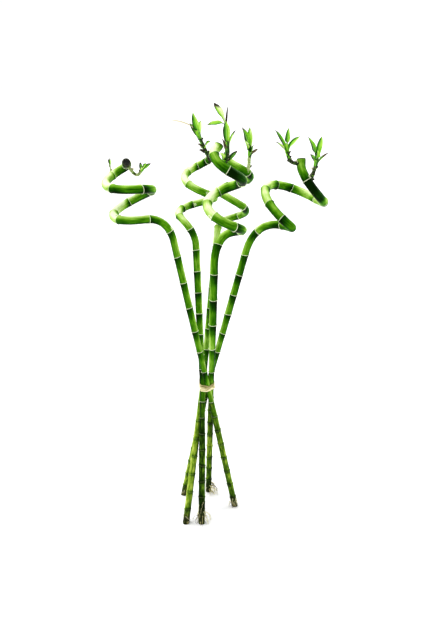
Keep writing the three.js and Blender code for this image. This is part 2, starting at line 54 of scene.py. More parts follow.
# Each cane runs straight from its foot to the waist and on to its shoulder, bends over and
# climbs round a leaning axis. diameters: at the foot, waist, shoulder and curl. nodes: runs of
# nodes, each a first distance from the foot and a spacing. tip: the cut end and its heading.
# The rest is its looks. side: the direction, in degrees seen from above, that the painted light on its
# straight part comes from: the bark is painted paler on that side and darker on the other, as light and
# shade. leg: how pale its lower part is, from 0 to 1. tones and light: distances from the foot and how
# much darker (below 0) or paler the bark is there, partly its own tone and partly painted light and
# shade, paler where light falls on a turn and darker in its shade.
CANES = {
    "left": dict(
        foot=(45, 8), waist_angle=-72, shoulder=(-44, -34, 440),
        centre=(-93, -27, 471), lean=(-0.25, 0), radii=(31, 28), pitches=(36, 50),
        start=-65, turn=555, bend=(0.40, 0.41),
        tip=((-106, -22, 545), (0.3, -0.85, 0.4)),
        diameters=(9.2, 7.4, 10.0, 11.6), narrows=(0.7, 1), tip_length=12,
        nodes=((18, 25), (245, 34), (351, 39), (505, 43), (578, 34), (655, 41), (786, 40)),
        side=-10, leg=0.55,
        tones_and_light=((0, -0.9), (14, -0.8), (24, 0), (225, 0.12), (350, 0), (420, 0.15), (440, 0.05),
               (500, 0.35), (515, 0.1), (538, 0.1), (546, 0.6), (551, 1.1), (575, 0.8), (582, 1.4),
               (602, 1.3), (610, 0.2), (640, 0.2), (665, 0.7), (684, 0.5), (692, -0.2), (730, -0.35),
               (738, 0.5), (746, 0.9), (765, 0.8), (780, 1.5), (792, 0), (829, -0.3)),
    ),
    "back_left": dict(
        foot=(-7.7, -40.5), waist_angle=-143, shoulder=(-15, 26, 420),
        centre=(-14, 50, 460), lean=(0.05, 0), radii=(27, 17), pitches=(44, 67),
        start=-155, turn=545, bend=(0.44, 0.45), tip=None,
        diameters=(9.8, 8.0, 10.2, 10.8), narrows=(0.5, 0.8), tip_length=9,
        nodes=((18, 25), (265, 31), (453, 27), (507, 20), (548, 24), (596, 32), (660, 19)),
        side=0, leg=0.12,
        tones_and_light=((0, -1.1), (28, -0.9), (46, 0), (300, 0.2), (340, 0.05), (434, 0.4), (443, 0.1),
               (478, 0.8), (492, 0.8), (503, 0.3), (512, 0.6), (522, 0.1), (538, 0.1), (549, 1.2),
               (585, 1.1), (594, 0.3), (608, 0.15), (620, 0.9), (634, 1), (648, 0.6), (658, 1.1),
               (680, 0), (706, -0.2)),
    ),
    "front": dict(
        foot=(2.6, 51), waist_angle=-5, shoulder=(11, -46, 410),
        centre=(22, -63, 453), lean=(0.06, -0.1), radii=(26, 18), pitches=(63, 68),
        start=58, turn=600, bend=(0.43, 0.44),
        tip=((17.2, -64, 571.5), (0.4, 0.45, 0.8)),
        diameters=(9.0, 7.6, 11.0, 12.0), narrows=(0.7, 1), tip_length=20,
        nodes=((28, 24), (245, 41), (498, 35), (563, 27), (617, 41)),
        side=180, leg=0.5,
        tones_and_light=((0, -0.9), (20, -0.7), (34, -0.1), (84, 0.2), (98, 0.8), (110, 0.9), (122, 0.2),
               (225, 0.5), (285, 0.45), (320, 0), (488, 0), (500, 1), (514, 0.9), (536, 0),
               (550, -0.1), (562, 0.9), (572, 0.6), (586, 0.7), (596, 1.4), (612, 1.2), (620, 0),
               (632, -0.35), (644, 0.2), (668, -0.2), (704, -0.5), (716, -0.15), (730, 0.5),
               (741, 0.7), (749, 0.1)),
    ),
    "back_right": dict(
        foot=(-31.7, -40), waist_angle=138, shoulder=(15, 56, 423),
        centre=(36, 68, 453), lean=(0.14, 0.15), radii=(21, 20), pitches=(54, 45),
        start=90, turn=640, bend=(0.43, 0.45), tip=None,
        diameters=(9.8, 8.2, 9.9, 10.8), narrows=(0.5, 0.8), tip_length=20,
        nodes=((23, 28), (241, 31), (504, 38), (652, 28)),
        side=180, leg=0.9,
        tones_and_light=((0, -0.8), (4, -0.5), (7, 0.1), (17, 0.1), (21, -0.4), (34, 0.1), (225, 0.2),
               (285, 0.55), (320, 0), (384, -0.3), (430, 0.75), (452, 1.4), (476, 0.4), (490, 0.8),
               (514, 0.6), (526, 1.2), (542, 0.2), (560, 0.2), (575, 0.9), (600, 0.8), (620, 0),
               (644, 0.3), (660, 0.9), (682, 0.1), (692, 0), (706, 0.8), (734, 0.2)),
    ),
    "right": dict(
        foot=(-38, 41), waist_angle=69, shoulder=(55, -9, 418),
        centre=(109, -30, 480), lean=(0.63, -0.21), radii=(45, 28), pitches=(39, 72),
        start=-98, turn=395, bend=(0.80, 0.41),
        tip=((123, -52, 553), (-0.05, 0.25, 1)),
        diameters=(9.2, 7.2, 10.2, 11.6), narrows=(0.7, 1), tip_length=32,
        nodes=((20, 25), (244, 31), (471, 45), (562, 26), (588, 32), (678, 40), (758, 45)),
        side=190, leg=0.65,
        tones_and_light=((0, -0.7), (12, -0.6), (20, 0), (320, 0.2), (370, 0), (390, -0.35), (422, -0.2),
               (432, 0.3), (464, 0.1), (476, 0.5), (486, -0.1), (512, -0.15), (538, 0.4), (549, 0.4),
               (572, -0.35), (588, 0.4), (600, 0.1), (622, 0.45), (632, 1), (646, 0.35),
               (680, -0.35), (706, 1.2), (716, 0.7), (730, 0.6), (754, 1), (766, 0.8), (773, -0.6),
               (802, -0.9), (811, -0.3), (820, 0.1), (828, 1), (835, 1.3)),
    ),
}

# The free roots: how many, the heights they leave at, the angles they spread over, their reach
# and the share of dark ones. cling: how many rootlets cling to the foot, and from how far up.
ROOTS = {
    "left": dict(count=12, heights=(3, 13), angles=(110, 300), reach=6, dark=0.15,
                 cling=(12, 19)),
    "back_left": dict(count=28, heights=(3, 24), angles=(-180, 180), reach=11, dark=0.4,
                      cling=(16, 38)),
    "front": dict(count=34, heights=(3, 22), angles=(-80, 60), reach=14, dark=0.1,
                  cling=(9, 20)),
    "back_right": dict(count=5, heights=(2, 8), angles=(120, 330), reach=3, dark=0.3,
                       cling=(10, 17)),
    "right": dict(count=6, heights=(2, 9), angles=(20, 250), reach=3, dark=0.4,
                  cling=(7, 14)),
}

# The stem's points and diameters, how pale it is from 0 to 1, how many dry scales it has, and
# for each leaf: where it starts along the stem, its tip, its width, where it is widest, how
# pale it is and how dry it is, each from 0 to 1. A start above 1 is inside the furled leaves
# past the stem's end, and a dryness of 2 is a leaf bleached all over.
SHOOTS = {
    "left_tip": dict(
        stem=((-106, -15, 540), (-98, -18, 531), (-93, -20, 528), (-89, -20, 530),
              (-86.8, -20, 534)),
        diameters=(4.8, 4), pale=0.75, bracts=5,
        leaves=((0.9, (-89, -11, 544), 4.5, 0.4, 0.0, 0.45),
                (0.98, (-78.5, -30, 543.5), 6.5, 0.45, 0.9, 0),
                (0.95, (-73.8, -16, 543), 5, 0.5, 0.3, 0.35),
                (0.8, (-81, -8, 542.5), 4.5, 0.4, 0.7, 0)),
    ),
    "left_side": dict(
        stem=((-128, -3, 524), (-130, -3, 531), (-130.7, -3, 541)),
        diameters=(2.4, 1.6), pale=1.0, bracts=2,
        leaves=((0.9, (-130.8, -3, 549), 2.6, 0.4, 1.0, 0.5),
                (0.8, (-134, 2, 547), 2.4, 0.4, 1.0, 0.7)),
    ),
    "back_left": dict(
        stem=((4, 57, 543), (-1, 54, 553), (-5.4, 54, 562.5), (-9, 54, 571)),
        diameters=(6.2, 5), pale=0.0, bracts=9,
        leaves=((0.95, (-18.8, 44, 607), 11, 0.42, 0.6, 0.05),
                (0.9, (-24, 60, 591.5), 7, 0.45, 0.45, 0.3),
                (0.95, (-8, 74, 594), 7.5, 0.5, 1.0, 0.2),
                (0.5, (6.1, 48, 567), 5.5, 0.55, 0.8, 0.3),
                (0.7, (-16.4, 42, 577), 5.5, 0.4, 0.1, 0.3),
                (1.15, (-58, 84, 595), 2.2, 0.5, 1.0, 2), (0.2, (-10.5, 44, 555), 6, 0.5, 0.0, 0.9),
                (0.5, (-12.6, 46, 563), 4.5, 0.5, 0.0, 0.8)),
    ),
    "front": dict(
        stem=((23, -88, 545), (26.5, -85, 558), (26.6, -83, 571), (25.8, -83, 582)),
        diameters=(6.4, 6), pale=0.1, bracts=4,
        leaves=((0.5, (24.6, -92, 602), 9.5, 0.62, 0.45, 0.0),
                (1.3, (9.6, -70, 622.7), 8.5, 0.62, 1.35, 0.36),
                (1.3, (1.4, -96, 597), 7, 0.62, 0.7, 0.25),
                (1.2, (27.3, -76, 619), 2.4, 0.35, 0.3, 0.85),
                (0.3, (19.7, -98, 582), 4.5, 0.4, 0.0, 0.7),
                (0.15, (40, -78, 565.5), 6, 0.4, 0.1, 0.4),
                (0.6, (37.7, -64, 589.5), 3, 0.6, 0.9, 0.4),
                (0.12, (17.7, -95, 563), 9, 0.5, 0.85, 0.1)),
    ),
    "back_right": dict(
        stem=((59, 60, 521), (61.4, 58, 533), (61.7, 56, 543), (62.4, 55, 551)),
        diameters=(5.6, 4.6), pale=0.8, bracts=3,
        leaves=((0.95, (49.8, 42, 587), 10.5, 0.42, 0.2, 0.3),
                (0.8, (53.8, 38, 569), 8, 0.45, 0.75, 0.1),
                (0.92, (62, 64, 585.5), 8, 0.5, 1.0, 0.2), (0.8, (67, 44, 562), 4.5, 0.4, 0.4, 0.3),
                (0.7, (75, 66, 555), 4.5, 0.6, 0.1, 0.8)),
    ),
    "right_inner": dict(
        stem=((121, -56, 546), (109.5, -62, 549.5), (105.4, -64, 555.3), (103.5, -64, 563.5)),
        diameters=(5.4, 4.6), pale=0.0, bracts=8,
        leaves=((0.95, (88, -52, 589), 5, 0.42, 0.15, 0.3),
                (0.98, (103.5, -75, 593), 7, 0.42, 0.55, 0.05),
                (0.93, (120.5, -53, 581), 6.2, 0.45, 0.7, 0.0),
                (0.8, (87, -79, 575.7), 5, 0.4, 0.9, 0.35),
                (0.7, (107.3, -74, 564), 4.5, 0.5, 0.0, 0.8)),
    ),
    "right_outer": dict(
        stem=((133, -66, 522), (137.5, -67, 537), (139.4, -67, 544.3), (140.7, -67, 552.5)),
        diameters=(5.4, 4.8), pale=0.05, bracts=8,
        leaves=((0.93, (127.3, -77, 582), 8, 0.42, 0.15, 0.2),
                (0.97, (147.7, -57, 581.5), 7.5, 0.45, 0.6, 0.0),
                (0.8, (134, -53, 558.6), 5, 0.4, 0.1, 0.4),
                (0.75, (139, -83, 566.3), 9, 0.45, 0.5, 0.0),
                (0.8, (156.6, -63, 561.6), 3, 0.4, 0.8, 0.6)),
    ),
}

# ---- Canes: bark relief ----
CANE_SIDES = 32
CANE_STEP = 2.5                # between sections away from nodes
# where the sections near a node are, from its middle
NODE_OFFSETS = (-7, -4.5, -3, -2.2, -1.6, -1.2, -0.9, -0.6, -0.3, 0, 0.3, 0.6, 0.9, 1.3, 2, 3, 4.5, 7)
SWELL, SWELL_REACH = 0.042, 6  # how much a node swells, over the radius, and how far that reaches
RING_HEIGHT, RING_HALF = 0.5, 0.52   # the scar line that a leaf leaves round a node
FLARE, FLARE_REACH = 0.24, 2.4       # how far the bark flares out below the scar
PINCH, PINCH_REACH = 0.2, 3.5        # and draws in above it
RING_TILT, TILT_REACH = 0.16, 9      # most that a ring leans from square, as a slope
END_INTERNODE = 25             # length of the internodes that the cuts have shortened
RIM_HEIGHT, RIM_DROP = 0.8, 0.7      # how long a cut's worn edge is, and how far it draws in
RIM_REACH = 4                  # how far the browning reaches down from a cut end
# the steps of the dish inside that edge: share of the rim's radius, and height
CUT_STEPS = ((0.86, -0.1), (0.8, -0.5), (0.4, -0.35), (0.12, -0.6))
SHADE_SPREAD = 0.11            # most that one internode is darker or paler than its neighbours
BUD_SHARE = 0.6                # share of a curl's nodes that carry a bud
BUD_RISE, BUD_HEIGHT = 2.6, 0.8      # from the ring to the bud's middle, and how far it stands out
BUD_LENGTH, BUD_WIDTH = 1.9, 1.7
CURL_BLEND = 40                # past its shoulder, how soon a cane's painted light and shade turn to those of a curl
PAINTED_LIGHT_SIDE = Vector((-0.22, -0.16, 0.9))   # the side of a curl that is painted paler, as lit; the side away from it is painted darker
STRAIGHT_PAINTED_LIGHT = 0.75                # how strongly the painted light and shade across a straight part stand out

# ---- Single roots ----
# how thick they start and end, how low their middles may lie, and the tone of the dimmest
# live one
FREE_ROOT = {"start": (0.26, 0.5), "end": 0.18, "lowest": 0.45, "dimmest": 0.5}
CLINGING_ROOT = {"start": (0.16, 0.32), "end": 0.14, "lowest": 0.3, "dimmest": 0.85}

# ---- Shoots and leaves ----
STEM_SIDES = 12
SCAR_FIRST, SCAR_SPACING = 2.0, 3.2
SCAR_OFFSETS = (-0.9, -0.45, -0.15, 0.15, 0.45, 0.9)
SCAR_HEIGHT, SCAR_HALF = 0.22, 0.35
LEAF_STEPS, LEAF_COLUMNS = 24, 9
LEAF_THICKNESS = 0.28
RIB_DEPTH = 0.1
BRACT_WIDTH, FURL_WIDTH = 2.8, 2.4   # of a dry scale, and of the furled leaf at a stem's end
LEAF_FACE = Vector((-0.1, -1, 0.3))     # the side that the leaves turn their upper face to
LEAF_TURN = 0.6

# ---- Raffia ----
TIE_RISE = 2.2                 # the strands lie a little above where the canes cross
RIBBON_WIDTH, RIBBON_THICKNESS = 2.1, 0.26
RIBBON_STEPS = 72
# a ribbon's section: its place across, and its height over the ribbon's thickness
RIBBON_PROFILE = ((-1, 0), (-0.45, 0.9), (0.1, 0.35), (0.55, 1), (1, 0.1), (0.5, -0.5), (-0.5, -0.6))
# middle above the tie's, how far it tilts and the direction, in degrees, that is high
WRAPS = ((-2.4, 4.4, 100), (-0.9, 4.2, 70), (1.6, 4.8, 112), (0.6, 3.8, 60), (2.6, 4.4, 92),
         (-1.6, 3.4, 132), (1.2, 3.4, 44), (-3.2, 3.8, 84), (0.0, 5.2, 98), (3.4, 3.6, 120),
         (-0.4, 4.8, 66))
KNOT_AT = Vector((11.2, -6.9, 213.5))
KNOT_REACH, KNOT_DEPTH, KNOT_WIDTH = 2.0, 1.0, 1.9
TAILS = (
    ((10.6, -7.6, 213), (12.6, -9.2, 213.5), (13.6, -9.9, 209), (13.9, -10.2, 202)),
    ((10.8, -7.2, 212), (12.4, -9.4, 210), (12.6, -10.2, 205), (12.0, -10.6, 199)),
    ((10.0, -8.2, 214), (12.0, -9.4, 216), (13.0, -9.6, 214.5), (13.4, -9.8, 211)),
)

# ---- Camera, read from the photograph ----
IMAGE_SIZE = (421, 631)
FOCAL_PIXELS = 722             # focal length over the size of one pixel
SENSOR = 36.0                  # the sensor's long side
CAMERA_AT = Vector((6, -1000, 648))
CAMERA_DOWN = 18               # degrees below the horizon
FLOOR_REACH = 60               # metres
HORIZON, OVERHEAD = 1.02, 0.45 # how bright the studio is round the horizon and above it
SKY_FADE = (0.3, 0.65)         # where it fades from one to the other, from 0 level to 1 overhead
# where each soft light comes from, its strength and its spread in degrees
LIGHTS = {"key": ((-0.45, 0.1, 0.9), 3.0, 60), "rim": ((0.8, 0.4, 0.45), 1.5, 50)}


# ---- Curves ----

def lerp(a, b, t):
    return a + (b - a) * t


def smooth_step(value, low, high):
    t = min(1, max(0, (value - low) / (high - low)))
    return t * t * (3 - 2 * t)


def level_direction(angle):
    return Vector((math.cos(angle), math.sin(angle), 0))


def square_to(vector, heading):
    """The direction of a vector once its part along a heading is taken out."""
    return (vector - heading * heading.dot(vector)).normalized()


def spoke(normal, across, angle):
    """The direction at an angle between two cross directions."""
    return normal * math.cos(angle) + across * math.sin(angle)


def bezier(points, t):
    """A point of the Bezier curve with these control points."""
    level = [Vector(p) for p in points]
    while len(level) > 1:
        level = [a.lerp(b, t) for a, b in zip(level, level[1:])]
    return level[0]


def curl_frame(cane):
    """The leaning axis of a curl, and its directions to the right and to the back."""
    axis = Vector((*cane["lean"], 1)).normalized()
    right = square_to(Vector((1, 0, 0)), axis)
    return axis, right, axis.cross(right)


def curl_point(cane, share):
    axis, right, back = curl_frame(cane)
    angle = math.radians(cane["start"] - cane["turn"] * share)
    radius = lerp(*cane["radii"], share)
    rise = cane["turn"] * share / 360 * lerp(*cane["pitches"], share / 2)
    across = right * (radius * math.cos(angle)) + back * (radius * math.sin(angle))
    return Vector(cane["centre"]) + across + axis * rise


def curl_heading(cane):
    """The direction of travel where a curl begins."""
    axis, right, back = curl_frame(cane)
    angle, radius = math.radians(cane["start"]), cane["radii"][0]
    around = right * (radius * math.sin(angle)) - back * (radius * math.cos(angle))
    return (around + axis * (cane["pitches"][0] / math.tau)).normalized()


class Line:
    """A smooth centre line, looked up by the distance along it."""

    def __init__(self, points):
        self.points = np.array([tuple(p) for p in points])
        steps = np.linalg.norm(np.diff(self.points, axis=0), axis=1)
        self.distances = np.concatenate(([0], np.cumsum(steps)))
        self.total = self.distances[-1]

    def at(self, distance):
        return Vector([np.interp(distance, self.distances, self.points[:, k]) for k in range(3)])

    def heading(self, distance, reach=0.6):
        low, high = max(0, distance - reach), min(self.total, distance + reach)
        return (self.at(high) - self.at(low)).normalized()

    def frames(self, distances):
        """Centre, heading and two cross directions at each distance, carried without twisting."""
        before = self.heading(distances[0])
        normal = square_to(Vector((1, 0, 0)) if abs(before.z) > 0.9 else UP, before)
        frames = []
        for distance in distances:
            heading = self.heading(distance)
            normal = square_to(before.rotation_difference(heading) @ normal, heading)
            before = heading
            frames.append((self.at(distance), heading, normal, heading.cross(normal)))
        return frames


def smooth_line(points):
    """A centre line through points, as a Catmull-Rom curve."""
    steps = 40
    points = [Vector(p) for p in points]
    ends = [points[0] * 2 - points[1], *points, points[-1] * 2 - points[-2]]
    line = []
    for a, b, c, d in zip(ends, ends[1:], ends[2:], ends[3:]):
        for i in range(steps):
            t = i / steps
            line.append(0.5 * (2 * b + (c - a) * t + (2 * a - 5 * b + 4 * c - d) * t ** 2
                               + (3 * b - a - 3 * c + d) * t ** 3))
    return Line(line + [points[-1]])


def cane_line(cane):
    """Foot to waist to shoulder, over the bend, round the curl and out to the tip."""
    foot = Vector((*cane["foot"], 0))
    angle = math.radians(cane["waist_angle"])
    waist = Vector((WAIST_RADIUS * math.cos(angle), WAIST_RADIUS * math.sin(angle), TIE_HEIGHT))
    shoulder = Vector(cane["shoulder"])
    start, heading = curl_point(cane, 0), curl_heading(cane)
    reach = (start - shoulder).length
    rising = (shoulder - waist).normalized()
    bend = (shoulder, shoulder + rising * cane["bend"][0] * reach,
            start - heading * cane["bend"][1] * reach, start)
    points = [foot, waist, *(bezier(bend, i / 60) for i in range(60))]
    points += [curl_point(cane, i / 500) for i in range(501)]
    if cane["tip"]:
        points += tip_points(points, *cane["tip"])
    line = Line(points)
    line.leg = (waist - foot).length
    line.shoulder = line.leg + (shoulder - waist).length
    return line


def tip_points(points, at, towards):
    end, tip = points[-1], Vector(at)
    pull = 0.5 * (tip - end).length
    travel = (points[-1] - points[-2]).normalized()
    control = (end, end + travel * pull, tip - Vector(towards).normalized() * pull, tip)
    return [bezier(control, i / 60) for i in range(1, 61)]


def cane_radius(cane, line, distance):
    foot, waist, stem, curl = cane["diameters"]
    if distance < line.leg:
        return lerp(foot, waist, smooth_step(distance / line.leg, *cane["narrows"])) / 2
    if distance < line.shoulder:
        return lerp(waist, stem, min(1, (distance - line.leg) / STEM_TAPER)) / 2
    curl_at = 0.3 * (line.total - line.shoulder)
    return lerp(stem, curl, min(1, (distance - line.shoulder) / curl_at)) / 2


def node_distances(cane, line):
    """Distances of the nodes from the foot, with the last one close below the cut tip."""
    last = line.total - cane["tip_length"]
    distances = []
    for run, (first, spacing) in enumerate(cane["nodes"]):
        end = cane["nodes"][run + 1][0] if run + 1 < len(cane["nodes"]) else last
        distances += list(np.arange(first, end - 0.6 * spacing, spacing))
    distances.append(last)
    return [d for d in distances if abs(d - line.leg) > TIE_CLEARANCE]


# ---- Meshes ----

def add_object(name, data):
    thing = bpy.data.objects.new(name, data)
    bpy.context.scene.collection.objects.link(thing)
    return thing


def above_floor(point, lowest):
    return Vector((point.x, point.y, max(point.z, lowest)))


class Body:
    """A mesh under construction, in millimetres. Each point carries three named vectors for its
    material: grain, its place in the surface's own grain; marks, the part of the surface that it lies
    on; and looks, how pale or dry it is and, on the canes, how much painted light or shade its bark is
    given."""

    def __init__(self):
        self.points, self.faces, self.slots = [], [], []
        self.grain, self.marks, self.looks = [], [], []

    def add_band(self, first, sides, slot):
        """Faces from the ring that starts with this point to the ring after it."""
        for j in range(sides):
            a, b = first + j, first + (j + 1) % sides
            self.faces.append((a, b, b + sides, a + sides))
            self.slots.append(slot)

    def add_rings(self, rings, grain, marks, looks, slot=0, end_slot=None):
        """Faces between closed rings of points, with a flat face on each end."""
        first, sides = len(self.points), len(rings[0])
        for ring in rings:
            self.points += ring
        self.grain += grain
        self.marks += marks
        self.looks += looks if isinstance(looks, list) else [looks] * len(grain)
        for i in range(len(rings) - 1):
            self.add_band(first + i * sides, sides, slot)
        last = first + (len(rings) - 1) * sides
        self.faces.append(tuple(range(first + sides - 1, first - 1, -1)))
        self.faces.append(tuple(range(last, last + sides)))
        self.slots += [slot if end_slot is None else end_slot] * 2

    def add_tube(self, line, radii, looks, sides, steps):
        """A tapered round strand along a line."""
        distances = np.linspace(0, line.total, steps + 1)
        rings, grain, marks = [], [], []
        for d, (centre, _, normal, across) in zip(distances, line.frames(distances)):
            radius = lerp(*radii, d / line.total)
            ring = []
            for j in range(sides):
                x, y = radius * math.cos(math.tau * j / sides), radius * math.sin(math.tau * j / sides)
                ring.append(centre + normal * x + across * y)
                grain.append((x, y, d))
                marks.append((d / line.total, 0, 0))
            rings.append(ring)
        self.add_rings(rings, grain, marks, looks)

    def make(self, name, materials, node):
        """The finished piece, which takes the place of the named solid."""
        mesh = bpy.data.meshes.new(name)
        placed = [(p + BUNDLE_AXIS) * MM for p in self.points]
        mesh.from_pydata(placed, [], self.faces)
        mesh.polygons.foreach_set("material_index", self.slots)
        mesh.polygons.foreach_set("use_smooth", [len(f) == 4 for f in self.faces])
        layers = (("grain", self.grain, MM), ("marks", self.marks, 1), ("looks", self.looks, 1))
        for key, values, unit in layers:
            layer = mesh.attributes.new(key, "FLOAT_VECTOR", "POINT")
            layer.data.foreach_set("vector", np.array(values).ravel() * unit)
        for material in materials:
            mesh.materials.append(material)
        piece = add_object(name, mesh)
        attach(piece, "root")
        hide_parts(node)


# ---- Canes ----

def cane_stations(nodes, line):
    """Distances of the sections: close together at each node, wider between."""
    near = {d + offset for d in nodes for offset in NODE_OFFSETS}
    stations = {d for d in near if 0 < d < line.total - RIM_HEIGHT}
    stations |= {d for d in np.arange(0, line.total - 1.5, CANE_STEP)
                 if min(abs(d - n) for n in nodes) > NODE_OFFSETS[-1] + 1}
    return sorted(stations | {0.0, line.total - RIM_HEIGHT, line.total})


def bark(nodes, tilts, turns, buds, distance, angles, radius):
    """Relief and marks of the bark at one distance, for every angle round the cane."""
    nodes = np.array(nodes)
    near = int(np.argmin(np.abs(nodes - distance)))
    away = distance - nodes[near]
    felt = math.exp(-(away / TILT_REACH) ** 2)
    shift = tilts[near] * radius * np.cos(angles - turns[near]) * felt
    d = distance - shift
    off = d - nodes[near]
    ring = np.exp(-(off / RING_HALF) ** 2)
    below, above = np.minimum(off, 0), np.maximum(off, 0)
    flare, pinch = FLARE * np.exp(below / FLARE_REACH), PINCH * np.exp(-above / PINCH_REACH)
    step = np.where(off < 0, flare, -pinch)
    swell = SWELL * radius * np.exp(-(off / SWELL_REACH) ** 2)
    relief = RING_HEIGHT * ring + step + swell
    lower = np.searchsorted(nodes, d, side="right") - 1
    ends = np.concatenate(([nodes[0] - END_INTERNODE], nodes, [nodes[-1] + END_INTERNODE]))
    start, end = ends[lower + 1], ends[lower + 2]
    internode = (d - start) / (end - start)
    bud = np.zeros_like(angles)
    if buds[near]:
        around = np.angle(np.exp(1j * (angles - turns[near]))) * radius
        bud = np.exp(-(((off - BUD_RISE) / BUD_LENGTH) ** 2) - (around / BUD_WIDTH) ** 2)
    return relief + BUD_HEIGHT * bud, internode, ring + 2 * bud, lower + 1


def make_cane(name, cane, materials):
    draw = random.Random(f"{SEED}{name}")
    line = cane_line(cane)
    nodes = node_distances(cane, line)
    tilts = [draw.uniform(-RING_TILT, RING_TILT) for _ in nodes]
    turns = [math.pi * k + draw.uniform(-0.5, 0.5) for k in range(len(nodes))]
    buds = [d > line.shoulder and draw.random() < BUD_SHARE for d in nodes]
    shades = [draw.uniform(-SHADE_SPREAD, SHADE_SPREAD) for _ in range(len(nodes) + 1)]
    side = level_direction(math.radians(cane["side"]))
    curl_lit_direction = PAINTED_LIGHT_SIDE.normalized()
    stations = cane_stations(nodes, line)
    angles = np.arange(CANE_SIDES) * math.tau / CANE_SIDES
    rings, grain, marks, looks = [], [], [], []
    for d, (centre, heading, normal, across) in zip(stations, line.frames(stations)):
        radius = cane_radius(cane, line, d)
        relief, internode, ring, segment = bark(nodes, tilts, turns, buds, d, angles, radius)
        if d == line.total:
            relief = relief - RIM_DROP
        outward = [spoke(normal, across, a) for a in angles]
        points = [centre + out * (radius + r) for out, r in zip(outward, relief)]
        if d == 0:
            points = [p - heading * (p.z / heading.z) for p in points]
        rings.append([above_floor(p, 0) for p in points])
        age = max(0.0, 1 - d / (line.leg * 1.05)) - max(0.0, 1 - (line.total - d) / RIM_REACH)
        # The tones and light mix the bark's own tone with painted light and shade along the cane: paler
        # where light falls on a turn, darker in its shade.
        tone = np.interp(d, *zip(*cane["tones_and_light"]))
        # Painted light and shade: each point is paler the more it faces the lit direction, the straight
        # part's side blending into the curl's lit side past the shoulder, and darker facing away.
        curled = min(1, max(0, (d - line.shoulder) / CURL_BLEND))
        lit_direction = (side * STRAIGHT_PAINTED_LIGHT).lerp(curl_lit_direction, curled)
        grain += [(5 * math.cos(a), 5 * math.sin(a), d) for a in angles]
        marks += [(i, r, age) for i, r in zip(internode, ring)]
        looks += [(tone + shades[k], out.dot(lit_direction), cane["leg"]) for out, k in zip(outward, segment)]
    body = Body()
    body.add_rings(rings, grain, marks, looks, 0, 1)
    cap_tip(body, line, CANE_SIDES)
    body.make(f"bark_{name}", materials, f"cane_{name}")
    return line


def cap_tip(body, line, sides):
    """The cut end: a dished face inside a thin raised rim of bark."""
    rim = body.points[-sides:]
    centre = sum(rim, Vector()) / sides
    heading = line.heading(line.total)
    body.faces.pop()
    body.slots.pop()
    first = len(body.points)
    for share, height in CUT_STEPS:
        body.points += [centre.lerp(p, share) + heading * height for p in rim]
        body.grain += [tuple((p - centre) * share) for p in rim]
        body.marks += [(share, 0, -1)] * sides
        body.looks += [(-0.5, 0, 0)] * sides
    for k in range(len(CUT_STEPS)):
        body.add_band(first + (k - 1) * sides, sides, min(k, 1))
    last = first + (len(CUT_STEPS) - 1) * sides
    body.faces.append(tuple(range(last, last + sides)))
    body.slots.append(1)


# ---- Roots ----

def free_root(draw, line, spec, index):
    """A root that leaves the foot, bends over and reaches the floor."""
    share = (index + draw.uniform(0.1, 0.9)) / spec["count"]
    angle = math.radians(lerp(*spec["angles"], share))
    height = lerp(*spec["heights"], draw.random())
    length = spec["reach"] * draw.uniform(0.4, 1.0)
    out = level_direction(angle)
    side = Vector((-out.y, out.x, 0)) * draw.uniform(-3, 3)
    start = line.at(height)
    end_height = draw.uniform(0.5, 0.25 * height + 0.6)
    control = (start, start + out * (0.7 * length + 4) + UP * draw.uniform(-1, 3),
               start + out * (length + 4) + side - UP * (0.4 * height),
               (start + out * (length + 3.5) + side).to_2d().to_3d() + UP * end_height)
    wave = draw.uniform(0, math.tau)
    points = []
    for i in range(15):
        p = bezier(control, i / 14)
        p += side.normalized() * (0.4 * math.sin(wave + i * 1.1))
        points.append(above_floor(p, FREE_ROOT["lowest"]))
    return Line(points)


def clinging_root(draw, cane, line, top):
    """A fine rootlet that wanders down the bark of the foot."""
    angle, drift = draw.uniform(0, math.tau), draw.uniform(-1.4, 1.4)
    high = draw.uniform(0.3, 1.0) * top
    low = draw.uniform(0.6, 0.6 * high)
    distances = np.linspace(high, low, 12)
    points = []
    for i, (d, (centre, _, normal, across)) in enumerate(zip(distances, line.frames(distances))):
        a = angle + drift * i / 11 + 0.15 * math.sin(2.1 * i + angle * 5)
        lift = cane_radius(cane, line, d) + 0.1 + 0.5 * abs(math.sin(0.8 * i + angle))
        points.append(above_floor(centre + spoke(normal, across, a) * lift, CLINGING_ROOT["lowest"]))
    return Line(points)


def root_looks(draw, dark, kind):
    """Either a dead brown strand or a live cream one."""
    live = draw.random() >= dark
    return (draw.uniform(kind["dimmest"], 1) if live else draw.uniform(0, 0.2), 0, 0)


def make_roots(name, cane, line, material):
    draw = random.Random(f"{SEED}roots{name}")
    spec = ROOTS[name]
    body = Body()
    for i in range(spec["count"]):
        radii = (draw.uniform(*FREE_ROOT["start"]), FREE_ROOT["end"])
        root = free_root(draw, line, spec, i)
        body.add_tube(root, radii, root_looks(draw, spec["dark"], FREE_ROOT), 6, 14)
    count, top = spec["cling"]
    for _ in range(count):
        radii = (draw.uniform(*CLINGING_ROOT["start"]), CLINGING_ROOT["end"])
        root = clinging_root(draw, cane, line, top)
        body.add_tube(root, radii, root_looks(draw, spec["dark"], CLINGING_ROOT), 5, 12)
    body.make(f"roots_{name}", [material], f"cane_{name}")


# ---- Shoots ----

